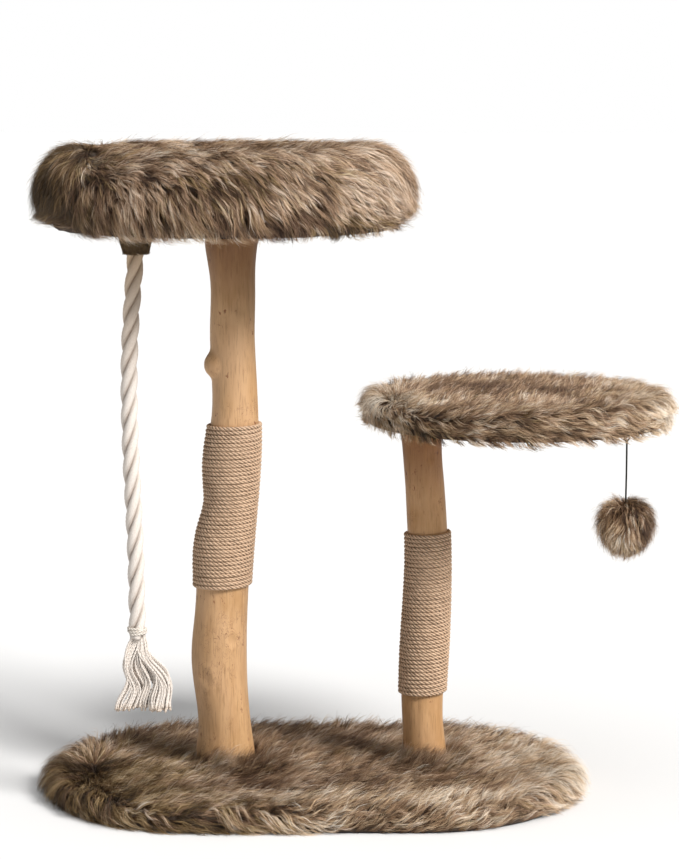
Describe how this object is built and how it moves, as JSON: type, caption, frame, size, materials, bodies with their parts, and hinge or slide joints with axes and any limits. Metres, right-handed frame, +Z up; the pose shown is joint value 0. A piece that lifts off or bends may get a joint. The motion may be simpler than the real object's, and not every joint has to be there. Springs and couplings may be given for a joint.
{
  "type": "cat tree",
  "caption": "Cat tree with branch posts wrapped in rope, furry oval base, upper nest bed, round shelf, hanging rope toy and pom-pom.",
  "frame": {"origin": "centre of the base's underside, on the floor", "axes": "+X to the right seen from the front, +Y to the back, +Z up; the rope toy hangs at -X, the round shelf is at +X"},
  "size_m": [0.8099, 0.476, 0.8429],
  "materials": {
    "fur": "long pile faux fur",
    "plush": "short plush",
    "backing_fabric": "non-woven cloth",
    "boot_fabric": "dark brown plush",
    "fill": "polyester stuffing",
    "foam": "soft foam",
    "plywood": "raw plywood",
    "branch": "peeled natural branch",
    "jute": "twisted jute rope",
    "cotton": "three-strand cotton rope",
    "twine": "cotton twine",
    "elastic": "black round elastic",
    "band": "flat sewing elastic",
    "nonslip": "ribbed non-slip sheet",
    "steel": "zinc plated",
    "insert": "zinc alloy",
    "zip": "nylon coil zip"
  },
  "bodies": {
    "stand": {"base_board": "plywood", "base_fur_cover": "fur", "base_staples": "steel", "base_backing": "nonslip", "base_bolts": "steel", "base_washers": "steel", "tall_post": "branch", "tall_post_inserts": "insert", "tall_post_wrap": "jute", "short_post": "branch", "short_post_inserts": "insert", "short_post_wrap": "jute", "bed_board": "plywood", "bed_bolts": "steel", "bed_washers": "steel", "bed_edge_cover": "fur", "bed_staples": "steel", "bed_underside_cloth": "backing_fabric", "bed_floor_lining": "plush", "bed_bolster_cover": "fur", "bed_bolster_fill": "fill", "platform_board": "plywood", "platform_bolts": "steel", "platform_washers": "steel", "platform_foam": "foam", "platform_fur_cover": "fur", "platform_hem_elastic": "band", "pompom_eye": "steel"},
    "cushion": {"bed_cushion_cover": "plush", "bed_cushion_fill": "fill", "bed_cushion_zip": "zip"},
    "boot": {"rope_boot": "boot_fabric"},
    "rope": {"hanging_rope": "cotton", "rope_whipping": "twine", "rope_tassel": "cotton"},
    "pompom_loop": {"pompom_loop": "elastic"},
    "pompom": {"pompom_elastic": "elastic", "pompom_cover": "fur", "pompom_core": "fill"}
  },
  "joints": [
    {"name": "rope_sway_front_back", "type": "hinge", "parent": "stand", "child": "boot", "pos_m": [-0.218, -0.11, 0.7147], "axis": [1, 0, 0], "range_deg": [-25, 4]},
    {"name": "rope_sway_sideways", "type": "hinge", "parent": "boot", "child": "rope", "pos_m": [-0.218, -0.11, 0.7147], "axis": [0, 1, 0], "range_deg": [-20, 20]},
    {"name": "pompom_sway_front_back", "type": "hinge", "parent": "stand", "child": "pompom_loop", "pos_m": [0.401, -0.04, 0.4798], "axis": [1, 0, 0], "range_deg": [-40, 40]},
    {"name": "pompom_sway_sideways", "type": "hinge", "parent": "pompom_loop", "child": "pompom", "pos_m": [0.401, -0.04, 0.4732], "axis": [0, 1, 0], "range_deg": [-40, 40]},
    {"name": "cushion_lift", "type": "slide", "parent": "stand", "child": "cushion", "axis": [0, 0, 1], "range_m": [0, 0.15]}
  ]
}
